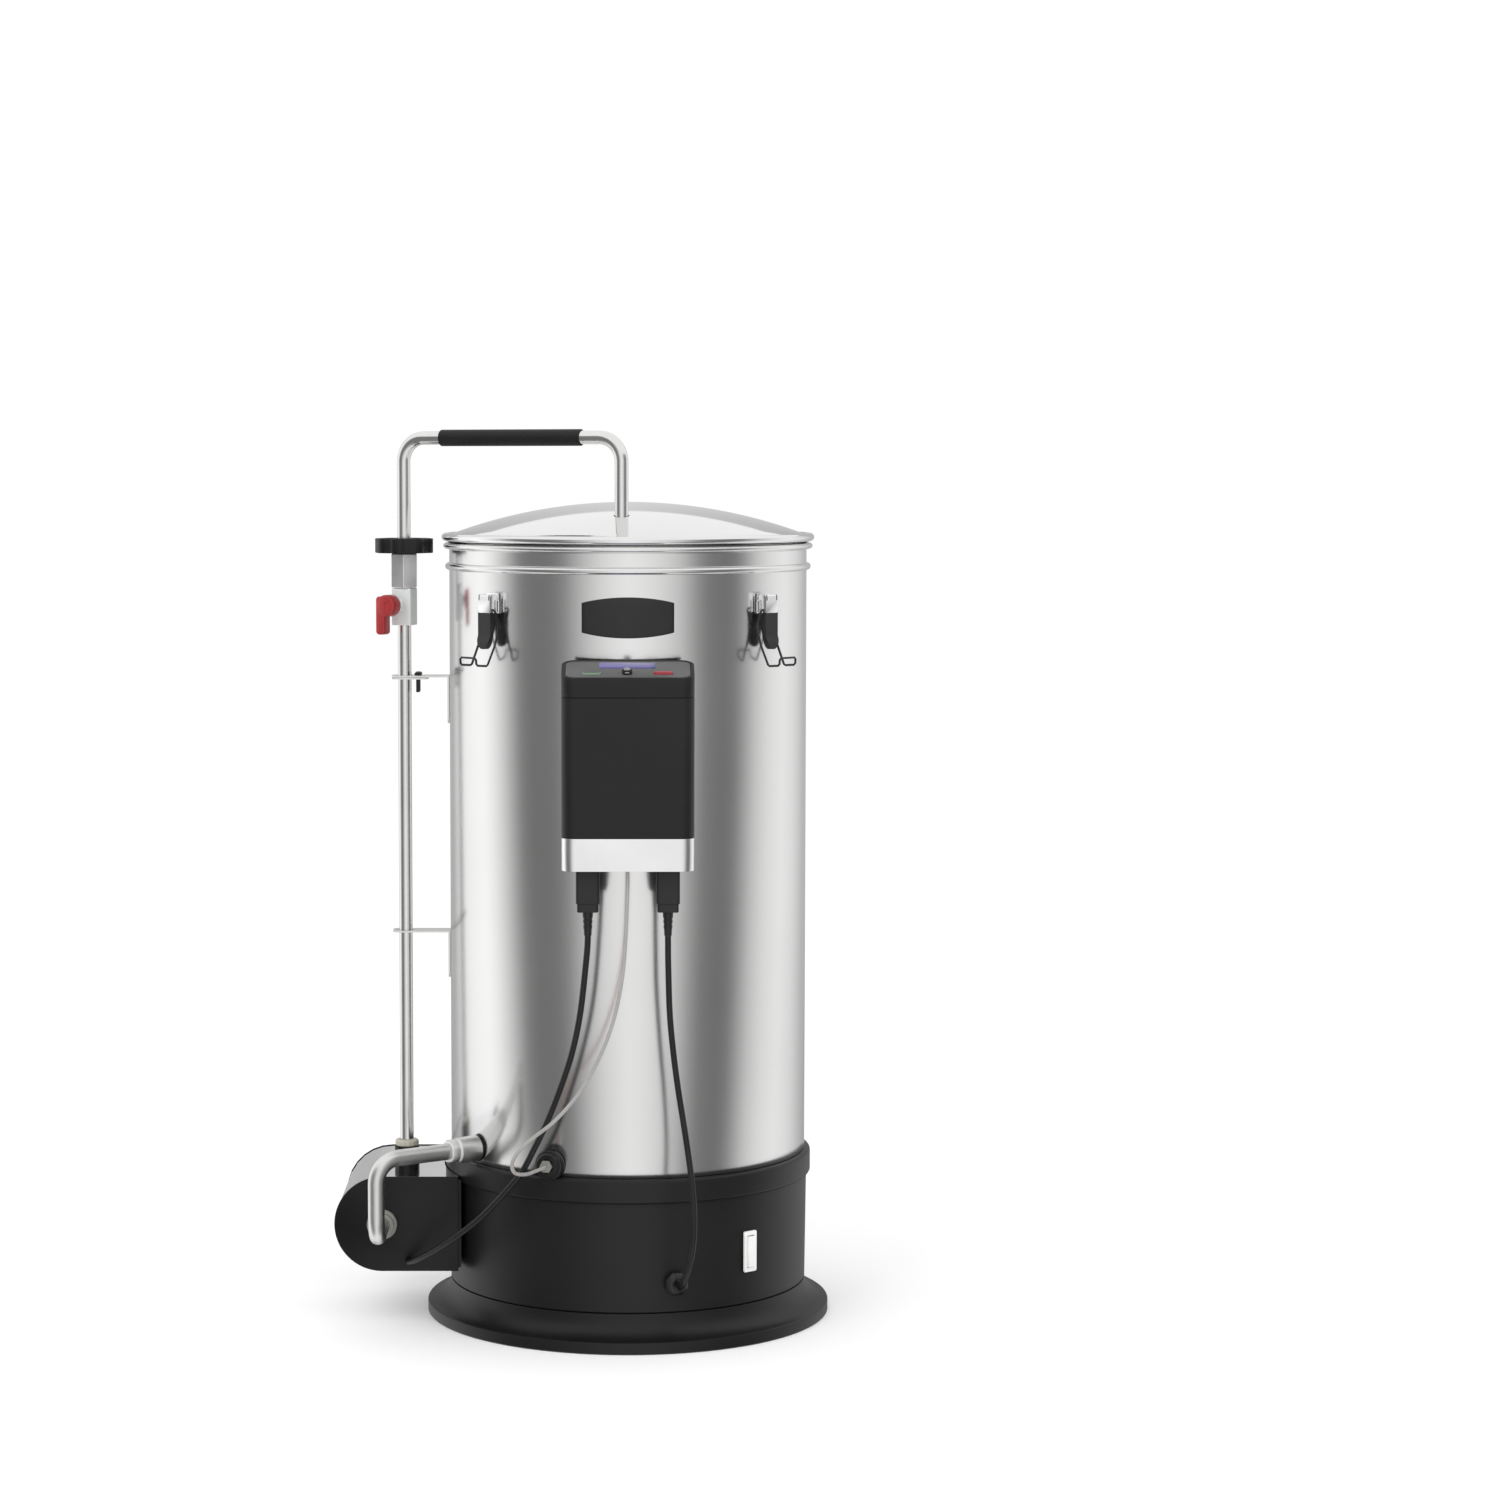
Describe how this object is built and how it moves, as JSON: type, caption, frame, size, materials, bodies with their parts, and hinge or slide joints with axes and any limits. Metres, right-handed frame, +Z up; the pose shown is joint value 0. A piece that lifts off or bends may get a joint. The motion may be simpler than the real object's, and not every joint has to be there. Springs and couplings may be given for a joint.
{
  "type": "electric all in one brewer",
  "caption": "Steel brewing kettle on a heated base, with a domed lid, lift-out grain basket, side pump, riser with ball valve, return pipe and clip-on controller.",
  "frame": {"origin": "centre of the base plate's underside, on the surface the brewer stands on", "axes": "+Z up along the kettle's axis, -Y out of the front where the controller hangs, the pump and riser on the -X side"},
  "size_m": [0.4286, 0.379, 0.7707],
  "materials": {
    "black_plastic": "satin moulded",
    "white_plastic": "gloss moulded",
    "black_rubber": "matt rubber",
    "grey_fitting": "satin",
    "heater_metal": "heat tinted",
    "steel": "polished stainless steel",
    "chrome": "mirror polished",
    "aluminium": "polished extrusion",
    "grey_panel": "fine matt",
    "red_coat": "dipped coating",
    "green_rim": "gloss",
    "lcd": "backlit glass",
    "board_green": "matt",
    "silicone": "matt silicone"
  },
  "bodies": {
    "root": {"badge_plate": "black_plastic", "base_plate": "black_plastic", "base_skirt": "black_plastic", "clamp_plate": "steel", "clamp_screw_back": "black_plastic", "clamp_screw_front": "black_plastic", "control_board": "board_green", "controller_band": "aluminium", "controller_cap": "black_plastic", "controller_shell": "black_plastic", "display": "lcd", "foot_ring": "black_plastic", "heater_cord": "black_rubber", "heater_gland": "black_plastic", "heater_plug": "black_plastic", "heating_element": "heater_metal", "hex_coupling": "steel", "inlet_pipe": "steel", "inlet_union": "grey_fitting", "kettle_filter": "steel", "kettle_shell": "steel", "latch_left_tongue": "chrome", "latch_right_tongue": "chrome", "lower_bracket": "steel", "outlet_port": "steel", "panel_plate": "grey_panel", "pump_band": "chrome", "pump_chassis": "black_plastic", "pump_cord": "black_rubber", "pump_front_plate": "black_plastic", "pump_motor": "steel", "pump_plug": "black_plastic", "pump_volute": "black_plastic", "riser_pipe": "steel", "riser_seal": "silicone", "sensor_boss": "black_rubber", "sensor_cable": "silicone", "sensor_probe": "grey_fitting", "switch_frame": "white_plastic", "upper_bracket": "steel", "valve_body": "chrome"},
    "basket": {"grain_basket": "steel", "basket_bottom_plate": "steel", "basket_top_plate": "steel", "overflow_pipe": "steel"},
    "lid": {"lid_dome": "steel"},
    "return_pipe": {"return_pipe": "steel", "grip_sleeve": "black_rubber"},
    "wing_nut": {"wing_nut": "black_plastic"},
    "valve": {"valve_ball": "chrome", "valve_lever": "red_coat"},
    "latch_left_lever": {"latch_left_lever": "black_plastic"},
    "latch_left_bail": {"latch_left_bail": "black_plastic"},
    "latch_right_lever": {"latch_right_lever": "black_plastic"},
    "latch_right_bail": {"latch_right_bail": "black_plastic"},
    "rocker_switch": {"rocker_switch": "white_plastic"},
    "start_button": {"start_button": "green_rim"},
    "stop_button": {"stop_button": "red_coat"},
    "select_button": {"select_button": "chrome"},
    "impeller": {"pump_impeller": "black_plastic"}
  },
  "joints": [
    {"name": "basket_lift", "type": "slide", "parent": "root", "child": "basket", "axis": [0, 0, 1], "range_m": [0, 0.55]},
    {"name": "lid_lift", "type": "slide", "parent": "root", "child": "lid", "axis": [0, 0, 1], "range_m": [0, 0.66]},
    {"name": "return_pipe_lift", "type": "slide", "parent": "root", "child": "return_pipe", "axis": [0, 0, 1], "range_m": [0, 0.825]},
    {"name": "wing_nut_spin", "type": "hinge", "parent": "return_pipe", "child": "wing_nut", "pos_m": [-0.1943, 0, 0.67065], "axis": [0, 0, 1], "continuous": true},
    {"name": "valve_turn", "type": "hinge", "parent": "root", "child": "valve", "pos_m": [-0.1943, 0, 0.6193], "axis": [0.5, 0.866, 0], "range_deg": [0, 90]},
    {"name": "latch_left_lever_swing", "type": "hinge", "parent": "root", "child": "latch_left_lever", "pos_m": [-0.11787, -0.11186, 0.628], "axis": [-0.6884, 0.7254, 0], "range_deg": [0, 85]},
    {"name": "latch_left_bail_swing", "type": "hinge", "parent": "latch_left_lever", "child": "latch_left_bail", "pos_m": [-0.1186, -0.11255, 0.6195], "axis": [-0.6884, 0.7254, 0], "range_deg": [0, 50]},
    {"name": "latch_right_lever_swing", "type": "hinge", "parent": "root", "child": "latch_right_lever", "pos_m": [0.11787, -0.11186, 0.628], "axis": [-0.6884, -0.7254, 0], "range_deg": [0, 85]},
    {"name": "latch_right_bail_swing", "type": "hinge", "parent": "latch_right_lever", "child": "latch_right_bail", "pos_m": [0.1186, -0.11255, 0.6195], "axis": [-0.6884, -0.7254, 0], "range_deg": [0, 50]},
    {"name": "switch_rock", "type": "hinge", "parent": "root", "child": "rocker_switch", "pos_m": [0.1026, -0.11844, 0.0758], "axis": [0.7559, 0.6547, 0], "range_deg": [-8, 8]},
    {"name": "start_press", "type": "slide", "parent": "root", "child": "start_button", "axis": [0, 0.2622, -0.965], "range_m": [0, 0.001], "stiffness_N_per_m": 400},
    {"name": "stop_press", "type": "slide", "parent": "root", "child": "stop_button", "axis": [0, 0.2622, -0.965], "range_m": [0, 0.001], "stiffness_N_per_m": 400},
    {"name": "select_rock", "type": "hinge", "parent": "root", "child": "select_button", "pos_m": [-0.0007, -0.18996, 0.56845], "axis": [1, 0, 0], "range_deg": [-4, 4], "stiffness_Nm_per_rad": 0.05},
    {"name": "impeller_spin", "type": "hinge", "parent": "root", "child": "impeller", "pos_m": [-0.2115, 0, 0.08945], "axis": [0, -1, 0], "continuous": true}
  ],
  "couplings": [
    {"joint": "lid_lift", "follows": "basket_lift", "ratio": 1.2},
    {"joint": "return_pipe_lift", "follows": "basket_lift", "ratio": 1.5}
  ]
}
